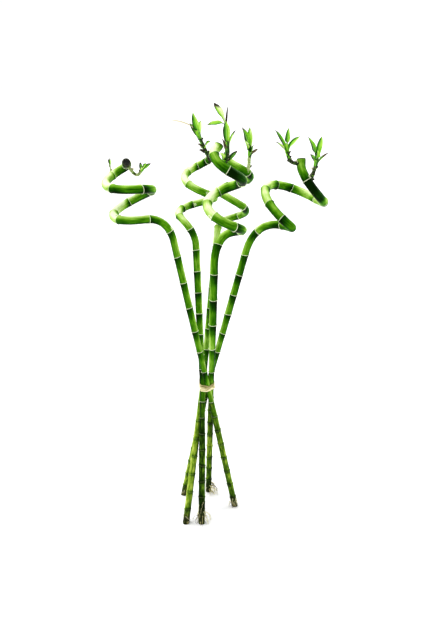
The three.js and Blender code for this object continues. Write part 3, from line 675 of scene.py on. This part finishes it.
def stem_rings(shoot):
    """The stem's sections, with a scar ring every few millimetres."""
    line = smooth_line(shoot["stem"])
    scars = np.arange(SCAR_FIRST, line.total, SCAR_SPACING)
    near = {d + offset for d in scars for offset in SCAR_OFFSETS}
    distances = sorted({0.0, line.total} | {d for d in near if 0 < d < line.total})
    rings, grain, marks = [], [], []
    for d, (centre, _, normal, across) in zip(distances, line.frames(distances)):
        off = d - scars[int(np.argmin(np.abs(scars - d)))]
        scar = math.exp(-(off / SCAR_HALF) ** 2)
        radius = lerp(*shoot["diameters"], d / line.total) / 2
        taper = 1 - 0.55 * max(0, (d / line.total - 0.9) / 0.1)
        pinch = 1 - 0.1 * math.exp(-max(off, 0) / 0.8)
        radius = radius * taper * pinch + SCAR_HEIGHT * scar
        ring = []
        for j in range(STEM_SIDES):
            a = math.tau * j / STEM_SIDES
            ring.append(centre + spoke(normal, across, a) * radius)
            grain.append((2 * math.cos(a), 2 * math.sin(a), d))
            marks.append((0, scar, d / line.total))
        rings.append(ring)
    return line, rings, grain, marks


def blade_half(t, width, base, widest):
    """Half a blade's width along its length: a clasping base, a belly, a drawn-out tip."""
    belly = math.sin(math.pi * t ** (math.log(0.5) / math.log(widest))) ** 0.85 if 0 < t < 1 else 0
    clasp = base * max(0, 1 - t / 0.4) ** 1.3
    return max(0.5 * width * belly, clasp) * (1 - t ** 8) + 0.12


def add_blade(body, draw, growth, base, tip, width, widest, stem_radius, looks):
    """A leaf: it wraps the stem at its base, opens into a shallow channel and tapers to its tip."""
    reach = (tip - base).length
    outward = square_to(tip - base, growth)
    start = base + outward * stem_radius
    droop = UP * (0.05 * reach * draw.uniform(-0.2, 1))
    control = (start, start + growth * 0.36 * reach,
               start.lerp(tip, 0.72) + droop + growth * 0.08 * reach, tip)
    twist = draw.uniform(-0.4, 0.4)
    wave, waves = draw.uniform(0, math.tau), draw.uniform(1.5, 3)
    inner = growth * 0.7 - outward * 0.3
    seed = draw.uniform(0, 50)
    rings, grain, marks = [], [], []
    for i in range(LEAF_STEPS + 1):
        t = i / LEAF_STEPS
        p = bezier(control, t)
        heading = (bezier(control, min(1, t + 0.01)) - bezier(control, max(0, t - 0.01))).normalized()
        up = inner if t > 0.05 else -outward * 0.5 + inner * 0.5
        up = up.lerp(LEAF_FACE, LEAF_TURN * smooth_step(t, 0.08, 0.5))
        up = Quaternion(heading, twist * t * t) @ square_to(up, heading)
        across = heading.cross(up)
        half = blade_half(t, width, min(stem_radius * 2.2, 0.42 * width + 1.0), widest)
        curve = lerp(1 / (stem_radius * 1.05), 0.7 / max(half, 1), smooth_step(t, 0, 0.5))
        upper, under = [], []
        for c in range(LEAF_COLUMNS):
            s = 2 * c / (LEAF_COLUMNS - 1) - 1
            bow = curve * s * half
            ripple = 0.09 * half * s * s * math.sin(wave + waves * math.tau * t + (s > 0) * 1.3)
            side = across * (math.sin(bow) / curve) + up * ((1 - math.cos(bow)) / curve + ripple)
            rib = -RIB_DEPTH * math.exp(-(s / 0.12) ** 2) * (1 - t)
            normal = up * math.cos(bow) - across * math.sin(bow)
            upper.append(p + side + normal * (LEAF_THICKNESS / 2 + rib))
            under.append(p + side - normal * (LEAF_THICKNESS / 2 - rib * 1.5))
        rings.append(upper + under[::-1])
        for c in range(2 * LEAF_COLUMNS):
            column = min(c, 2 * LEAF_COLUMNS - 1 - c)
            s = 2 * column / (LEAF_COLUMNS - 1) - 1
            grain.append((s * 0.5 * width, seed, reach * t))
            marks.append((t, s, float(c < LEAF_COLUMNS)))
    body.add_rings(rings, grain, marks, looks)


def make_shoot(name, shoot, bark, leaf):
    draw = random.Random(f"{SEED}shoot{name}")
    line, rings, grain, marks = stem_rings(shoot)
    stem = Body()
    stem.add_rings(rings, grain, marks, (shoot["pale"], 0, 0))
    stem.make(f"stem_{name}", [bark], f"shoot_{name}")
    leaves = Body()
    for share, tip, width, widest, pale, dry in shoot["leaves"]:
        d = min(share, 1) * line.total
        past = max(share - 1, 0)
        growth = line.heading(d)
        base = line.at(d) + growth * (past * line.total)
        radius = lerp(*shoot["diameters"], min(share, 1)) / 2 * (0.3 if past else 0.95)
        looks = (pale, dry, 0.75 if dry > 1 else draw.uniform(0, 0.3))
        add_blade(leaves, draw, growth, base, Vector(tip), width, widest, radius, looks)
    add_bracts(leaves, draw, line, shoot)
    leaves.make(f"leaves_{name}", [leaf], f"shoot_{name}")


def add_bracts(body, draw, line, shoot):
    """Small dry scales at the scars of the stem, and the furled new leaf at its end."""
    for k in range(shoot["bracts"]):
        share = lerp(0.12, 0.9, (k + 0.5) / shoot["bracts"])
        d = share * line.total
        base, growth = line.at(d), line.heading(d)
        radius = lerp(*shoot["diameters"], share) / 2
        angle = 2.4 * k + draw.uniform(-0.4, 0.4)
        side = square_to(Vector((math.cos(angle), math.sin(angle), 0.2)), growth)
        tip = base + growth * draw.uniform(2.5, 5.5) + side * (radius + draw.uniform(0.6, 2.6))
        looks = (0.5, 1.0, draw.choice((0, 0.05, 0.1, 0.2, 0.9)))
        add_blade(body, draw, growth, base, tip, BRACT_WIDTH, 0.45, radius, looks)
    end, growth = line.at(line.total), line.heading(line.total)
    side = growth.orthogonal().normalized()
    thick = shoot["diameters"][1]
    tip = end + growth * (2.4 * thick) + side * 0.6
    add_blade(body, draw, growth, end - growth * 3, tip, FURL_WIDTH, 0.4, 0.28 * thick, (0.7, 0, 0))


# ---- Raffia ----

def hull_radius(circles, angle):
    """How far the canes reach from the bundle's axis, measured square to a direction."""
    return max(c.x * math.cos(angle) + c.y * math.sin(angle) + r for c, r in circles)


def round_the_canes(circles, angle, out):
    """The point of the line stretched round the canes where it faces an angle."""
    step = 0.02
    near, far = hull_radius(circles, angle - step), hull_radius(circles, angle + step)
    reach, along = (near + far) / 2 + out, (far - near) / (2 * step)
    return Vector((reach * math.cos(angle) - along * math.sin(angle),
                   reach * math.sin(angle) + along * math.cos(angle), 0))


def add_ribbon(body, points, outward, width, thickness, tone, closed=False):
    """A flat strip of fibre along points, its face turned outward, with a slight fold."""
    count = len(points)
    rings, grain, marks = [], [], []
    length = 0.0
    for i, p in enumerate(points):
        ahead = points[(i + 1) % count] if closed else points[min(i + 1, count - 1)]
        behind = points[i - 1] if closed else points[max(i - 1, 0)]
        heading = (ahead - behind).normalized()
        out = square_to(outward[i], heading)
        across = heading.cross(out)
        wide = width * (1 + 0.12 * math.sin(0.7 * i + tone * 9)) / 2
        rings.append([p + across * (s * wide) + out * (h * thickness) for s, h in RIBBON_PROFILE])
        grain += [(s * wide, tone * 30, length) for s, _ in RIBBON_PROFILE]
        marks += [(s, h, 0) for s, h in RIBBON_PROFILE]
        length += (ahead - p).length
    if closed:
        rings.append(rings[0])
        grain += grain[:len(RIBBON_PROFILE)]
        marks += marks[:len(RIBBON_PROFILE)]
    body.add_rings(rings, grain, marks, (tone, 0, 0))


def make_tie(lines, material):
    circles = []
    for name, line in lines.items():
        for rise in (-6, 0, 6):
            d = line.leg + rise
            circles.append((line.at(d), cane_radius(CANES[name], line, d)))
    body = Body()
    draw = random.Random(f"{SEED}raffia")
    for layer, (height, tilt, high_side) in enumerate(WRAPS):
        points, outward = [], []
        high = math.radians(high_side)
        for i in range(RIBBON_STEPS):
            angle = math.tau * i / RIBBON_STEPS
            out = 0.2 + 0.06 * layer + 0.06 * math.sin(3 * angle + high)
            z = height + tilt * math.cos(angle - high) + 0.3 * math.sin(2 * angle + 2 * high)
            points.append(round_the_canes(circles, angle, out) + UP * (TIE_HEIGHT + TIE_RISE + z))
            outward.append(level_direction(angle))
        add_ribbon(body, points, outward, RIBBON_WIDTH, RIBBON_THICKNESS, draw.random(), True)
    add_knot(body, draw)
    for tail in TAILS:
        line = smooth_line(tail)
        points = [line.at(line.total * i / 24) for i in range(25)]
        outward = [Vector((p.x, p.y, 0)).normalized() for p in points]
        add_ribbon(body, points, outward, draw.uniform(0.7, 1.3), 0.18, draw.random())
    body.make("raffia", [material], "raffia_tie")


def add_knot(body, draw):
    """Three short loops pulled tight over each other."""
    out = Vector((KNOT_AT.x, KNOT_AT.y, 0)).normalized()
    side = Vector((-out.y, out.x, 0))
    for k in range(3):
        lean = k * math.pi / 3 + 0.3
        long_way = spoke(side, UP, lean)
        points, outward = [], []
        for i in range(24):
            a = math.tau * i / 24
            rise = KNOT_DEPTH * math.sin(a) + 0.15 * k
            points.append(KNOT_AT + long_way * (KNOT_REACH * math.cos(a)) + out * rise)
            outward.append(spoke(long_way, out, a))
        add_ribbon(body, points, outward, KNOT_WIDTH, 0.25, draw.random(), True)


# ---- Materials ----

class Shader:
    """A Principled material, with short calls for the nodes that feed it."""

    def __init__(self, name, roughness, specular, **settings):
        self.material = bpy.data.materials.new(name)
        self.material.use_nodes = True
        self.tree = self.material.node_tree
        self.surface = self.tree.nodes["Principled BSDF"]
        settings |= {"Roughness": roughness, "Specular_IOR_Level": specular}
        for key, value in settings.items():
            self.surface.inputs[key.replace("_", " ")].default_value = value

    def add(self, kind, inputs=(), **settings):
        node = self.tree.nodes.new("ShaderNode" + kind)
        for key, value in settings.items():
            setattr(node, key, value)
        for key, value in dict(inputs).items():
            if isinstance(value, bpy.types.NodeSocket):
                self.tree.links.new(value, node.inputs[key])
            else:
                node.inputs[key].default_value = value
        return node

    def attribute(self, name):
        return self.add("Attribute", attribute_name=name).outputs["Vector"]

    def parts(self, name):
        """The three numbers of a vector that the mesh carries."""
        return self.add("SeparateXYZ", {"Vector": self.attribute(name)}).outputs

    def noise(self, scale, detail, rough=0.55, along=1.0, place=None):
        """Noise over the surface's grain, drawn out lengthways where along is below 1."""
        place = place or self.attribute("grain")
        if along != 1.0:
            stretch = {0: place, 1: (1, 1, along)}
            place = self.add("VectorMath", stretch, operation="MULTIPLY").outputs[0]
        inputs = {"Vector": place, "Scale": scale, "Detail": detail, "Roughness": rough}
        return self.add("TexNoise", inputs).outputs["Fac"]

    def math(self, operation, a, b=0.0, c=0.0):
        return self.add("Math", {0: a, 1: b, 2: c}, operation=operation).outputs[0]

    def total(self, start, *parts):
        """A number plus each of the parts, given as (socket, weight)."""
        value = start
        for socket, weight in parts:
            value = self.math("MULTIPLY_ADD", socket, weight, value)
        return value

    def remap(self, value, low, high, to_low=0.0, to_high=1.0):
        inputs = {"Value": value, "From Min": low, "From Max": high, "To Min": to_low, "To Max": to_high}
        return self.add("MapRange", inputs, clamp=True).outputs["Result"]

    def ramp(self, value, stops):
        node = self.add("ValToRGB", {"Fac": value})
        elements = node.color_ramp.elements
        while len(elements) < len(stops):
            elements.new(0.5)
        for element, (place, colour) in zip(elements, stops):
            element.position = place
            element.color = (*colour, 1)
        return node.outputs["Color"]

    def mix(self, factor, a, b):
        node = self.add("Mix", data_type="RGBA")
        for socket, value in zip((node.inputs[0], node.inputs[6], node.inputs[7]), (factor, a, b)):
            if isinstance(value, bpy.types.NodeSocket):
                self.tree.links.new(value, socket)
            else:
                socket.default_value = value if isinstance(value, (int, float)) else (*value, 1)
        return node.outputs[2]

    def finish(self, colour, height=None, depth=0.0001, strength=0.5, roughness=None):
        self.tree.links.new(colour, self.surface.inputs["Base Color"])
        if roughness is not None:
            self.tree.links.new(roughness, self.surface.inputs["Roughness"])
        if height is not None:
            bump = self.add("Bump", {"Height": height, "Distance": depth, "Strength": strength})
            self.tree.links.new(bump.outputs["Normal"], self.surface.inputs["Normal"])
        return self.material


def bark_material():
    """Glossy green bark: dark below each node, with painted light and shade, paler on the side that
    faces the painted light and darker on the side away from it; streaked along the grain, mottled and
    olive on the lower part and brown at the foot."""
    s = Shader("cane_bark", 0.3, 0.07, IOR=1.2, Specular_Tint=(0.4, 0.7, 0.1, 1), Sheen_Weight=0.5,
               Sheen_Roughness=0.15, Sheen_Tint=(0.5, 1.0, 0.15, 1))
    internode, ring, age = s.parts("marks")
    tone, facing, leg = s.parts("looks")
    # Painted light and shade: the bark is paler where it faces the lit direction and darker where it
    # faces away.
    painted_light = s.math("MULTIPLY", facing, s.math("ABSOLUTE", facing))
    streak = s.noise(900, 4, along=0.08)
    patch = s.noise(120, 3, along=0.45)
    worn = s.noise(420, 4, 0.7)
    shade = s.remap(internode, 0.5, 1.0)
    level = s.total(-0.085, (patch, 0.46), (streak, 0.4), (tone, 0.34), (painted_light, 0.48),
                    (shade, -0.34))
    green = s.ramp(level, ((0.0, (0.0015, 0.01, 0.0004)), (0.15, (0.004, 0.04, 0.0005)),
                           (0.3, (0.02, 0.115, 0.001)), (0.44, (0.07, 0.24, 0.004)),
                           (0.56, (0.19, 0.4, 0.03)), (0.7, (0.38, 0.6, 0.11)),
                           (0.85, (0.62, 0.8, 0.32)), (1.0, (0.84, 0.93, 0.6))))
    mottle = s.noise(190, 5, 0.65, along=0.3)
    knots = s.remap(s.math("ABSOLUTE", s.math("SUBTRACT", internode, 0.5)), 0.34, 0.5)
    level = s.total(-0.66, (mottle, 1.5), (leg, 0.36), (painted_light, 0.26), (knots, -0.22), (tone, 0.2))
    old = s.ramp(level, ((0.0, (0.003, 0.01, 0.001)), (0.14, (0.012, 0.04, 0.002)),
                         (0.3, (0.055, 0.13, 0.006)), (0.46, (0.17, 0.29, 0.018)),
                         (0.66, (0.38, 0.48, 0.06)), (0.9, (0.68, 0.72, 0.26))))
    colour = s.mix(s.remap(age, 0.0, 0.35), green, old)
    scar = s.mix(s.remap(age, 0.1, 0.5), (0.8, 0.9, 0.56), (0.34, 0.42, 0.16))
    line = s.math("MULTIPLY", s.remap(ring, 0.5, 0.9), s.remap(patch, 0.35, 0.55, 0.5, 1.0))
    line = s.math("MULTIPLY", line, s.remap(age, 0.0, 0.3, 1.0, 0.2))
    colour = s.mix(line, colour, scar)
    colour = s.mix(s.remap(ring, 1.1, 1.7, 0.0, 0.85), colour, (0.2, 0.26, 0.06))
    hairy = s.remap(s.total(0.0, (age, 1.0), (worn, 0.14)), 0.96, 1.03)
    foot = s.ramp(worn, ((0.38, (0.006, 0.007, 0.002)), (0.54, (0.018, 0.026, 0.006)),
                         (0.66, (0.07, 0.08, 0.02)), (0.78, (0.36, 0.34, 0.15))))
    colour = s.mix(hairy, colour, foot)
    rim = s.remap(s.total(0.0, (age, -1.0), (worn, 0.5)), 0.7, 1.1)
    colour = s.mix(rim, colour, (0.045, 0.048, 0.025))
    height = s.total(0.0, (streak, 0.5), (s.math("MULTIPLY", worn, s.remap(age, 0.6, 1, 0.2, 2)), 1.0))
    roughness = s.remap(s.total(0.0, (patch, 1.0), (age, 1.0)), 0.3, 1.5, 0.24, 0.6)
    return s.finish(colour, height, 0.0002, 0.35, roughness)


def cut_material():
    """The sealed, dried face of a cut: near black with a brown, fibrous middle."""
    s = Shader("cut_end", 0.6, 0.1)
    fibres = s.noise(900, 4, 0.7)
    rings = s.noise(260, 2)
    colour = s.ramp(s.total(0.0, (fibres, 0.5), (rings, 0.5)),
                    ((0.35, (0.004, 0.005, 0.004)), (0.5, (0.011, 0.012, 0.009)),
                     (0.68, (0.05, 0.048, 0.033))))
    return s.finish(colour, fibres, 0.0004, 0.6)


def leaf_material():
    """Bright satin leaves with a pale rib and fine parallel veins, one half of each blade painted paler
    and the other darker and the margins painted darker, as the light and shade of a folded blade. Dry
    ones brown from the tip.
    """
    s = Shader("leaf", 0.36, 0.3, IOR=1.25)
    along, across, _ = s.parts("marks")
    pale, dry, draw = s.parts("looks")
    veins = s.noise(1500, 2, along=0.03)
    patch = s.noise(190, 3, along=0.4)
    side = s.math("ABSOLUTE", across)
    shaded_margin = s.remap(side, 0.55, 1.0)
    # Painted shade: one half of each blade is painted paler and the other darker, and its margins
    # darker, as the light and shade of a folded blade.
    level = s.total(-0.36, (patch, 0.72), (veins, 0.36), (pale, 0.4), (shaded_margin, -0.22), (across, 0.4),
                    (along, 0.16))
    green = s.ramp(level, ((0.08, (0.006, 0.045, 0.002)), (0.24, (0.022, 0.15, 0.003)),
                           (0.42, (0.08, 0.36, 0.006)), (0.6, (0.22, 0.58, 0.015)),
                           (0.78, (0.46, 0.76, 0.09)), (0.95, (0.74, 0.88, 0.42))))
    colour = s.mix(s.remap(side, 0.03, 0.14, 0.4, 0.0), green, (0.55, 0.78, 0.22))
    burnt = s.remap(s.total(0.0, (along, 1.0), (patch, 0.25), (side, 0.1), (dry, 1.0)), 1.18, 1.34)
    brown = s.ramp(s.total(0.0, (veins, 0.35), (draw, 0.75)),
                   ((0.12, (0.01, 0.009, 0.005)), (0.3, (0.04, 0.032, 0.012)), (0.5, (0.17, 0.12, 0.05)),
                    (0.7, (0.5, 0.42, 0.24)), (0.9, (0.82, 0.78, 0.6))))
    colour = s.mix(burnt, colour, brown)
    return s.finish(colour, s.total(0.0, (veins, 1.0), (patch, 0.3)), 0.0002, 0.4)


def stem_material():
    """A shoot's stem: dark and woody or pale green, ringed with cream scars."""
    s = Shader("shoot_bark", 0.42, 0.15, IOR=1.2)
    pale = s.parts("looks")[0]
    _, scar, along = s.parts("marks")
    patch = s.noise(480, 4, 0.65)
    woody = s.ramp(patch, ((0.38, (0.003, 0.006, 0.002)), (0.54, (0.01, 0.03, 0.004)),
                           (0.64, (0.05, 0.08, 0.02)), (0.73, (0.66, 0.68, 0.46))))
    fresh = s.ramp(patch, ((0.3, (0.06, 0.12, 0.02)), (0.48, (0.24, 0.36, 0.08)),
                           (0.66, (0.66, 0.7, 0.38))))
    colour = s.mix(s.remap(s.total(0.0, (pale, 1.0), (along, 0.35)), 0.2, 0.95), woody, fresh)
    shown = s.math("MULTIPLY", s.remap(scar, 0.3, 0.9), s.remap(pale, 0.0, 1.0, 0.12, 0.6))
    colour = s.mix(shown, colour, (0.7, 0.74, 0.5))
    return s.finish(colour, patch, 0.0003, 0.5)


def root_material():
    """Cream or brown roots that darken towards their tips."""
    s = Shader("root", 0.65, 0.3)
    along = s.parts("marks")[0]
    tone = s.parts("looks")[0]
    patch = s.noise(420, 4, 0.65, along=0.4)
    colour = s.ramp(s.total(0.0, (patch, 0.5), (tone, 0.5), (along, -0.12)),
                    ((0.22, (0.012, 0.01, 0.004)), (0.4, (0.07, 0.053, 0.014)),
                     (0.54, (0.5, 0.43, 0.14)), (0.72, (0.92, 0.9, 0.52))))
    return s.finish(colour, patch, 0.0002, 0.5)


def raffia_material():
    """Dry straw-coloured fibre with fine streaks along each strip."""
    s = Shader("raffia", 0.6, 0.3)
    tone = s.parts("looks")[0]
    fibre = s.noise(1600, 4, 0.6, along=0.04)
    patch = s.noise(220, 3, along=0.3)
    colour = s.ramp(s.total(0.0, (fibre, 0.55), (patch, 0.3), (tone, 0.3)),
                    ((0.36, (0.13, 0.1, 0.025)), (0.47, (0.42, 0.36, 0.13)), (0.57, (0.8, 0.73, 0.39)),
                     (0.76, (0.97, 0.95, 0.68))))
    return s.finish(colour, fibre, 0.0004, 0.6)


def floor_material():
    """White paper with a barely visible tooth."""
    s = Shader("floor_paper", 0.9, 0.0)
    tooth = s.noise(600, 2, place=s.add("TexCoord").outputs["Object"])
    colour = s.ramp(tooth, ((0.3, (0.92, 0.92, 0.925)), (0.7, (0.94, 0.94, 0.945))))
    return s.finish(colour)


# ---- Stage ----

def make_floor():
    """A plain white sheet, wide enough to fill the picture in every view."""
    reach = FLOOR_REACH
    mesh = bpy.data.meshes.new("floor")
    corners = [(-reach, -reach, 0), (reach, -reach, 0), (reach, reach, 0), (-reach, reach, 0)]
    mesh.from_pydata(corners, [], [(0, 1, 2, 3)])
    mesh.materials.append(floor_material())
    add_object("floor", mesh)


def make_light(name, direction, strength, spread):
    data = bpy.data.lights.new(name, "SUN")
    data.energy = strength
    data.angle = math.radians(spread)
    light = add_object(name, data)
    light.rotation_euler = Vector(direction).to_track_quat("Z", "Y").to_euler()


def make_studio():
    world = bpy.data.worlds.new("studio")
    world.use_nodes = True
    background = world.node_tree.nodes["Background"]
    background.inputs["Color"].default_value = (1, 1, 1, 1)
    nodes, link = world.node_tree.nodes, world.node_tree.links.new
    kinds = ("TexCoord", "SeparateXYZ", "MapRange")
    place, split, fade = (nodes.new(f"ShaderNode{kind}") for kind in kinds)
    link(place.outputs["Generated"], split.inputs["Vector"])
    link(split.outputs["Z"], fade.inputs["Value"])
    keys = ("From Min", "From Max", "To Min", "To Max")
    for key, value in zip(keys, (*SKY_FADE, HORIZON, OVERHEAD)):
        fade.inputs[key].default_value = value
    link(fade.outputs["Result"], background.inputs["Strength"])
    bpy.context.scene.world = world
    for name, (direction, strength, spread) in LIGHTS.items():
        make_light(name, direction, strength, spread)
    bpy.context.scene.view_settings.view_transform = "Standard"


def make_camera():
    data = bpy.data.cameras.new("camera")
    data.sensor_width = SENSOR
    data.lens = SENSOR * FOCAL_PIXELS / max(IMAGE_SIZE)
    camera = add_object("camera", data)
    camera.location = (CAMERA_AT + BUNDLE_AXIS) * MM
    camera.rotation_euler = (math.radians(90 - CAMERA_DOWN), 0, 0)
    bpy.context.scene.camera = camera


# ---- Assembly ----

make_camera()
make_studio()
make_floor()
cane_materials = [bark_material(), cut_material()]
roots, stems, leaves = root_material(), stem_material(), leaf_material()
lines = {}
for name, cane in CANES.items():
    lines[name] = make_cane(name, cane, cane_materials)
    make_roots(name, cane, lines[name], roots)
for name, shoot in SHOOTS.items():
    make_shoot(name, shoot, stems, leaves)
make_tie(lines, raffia_material())
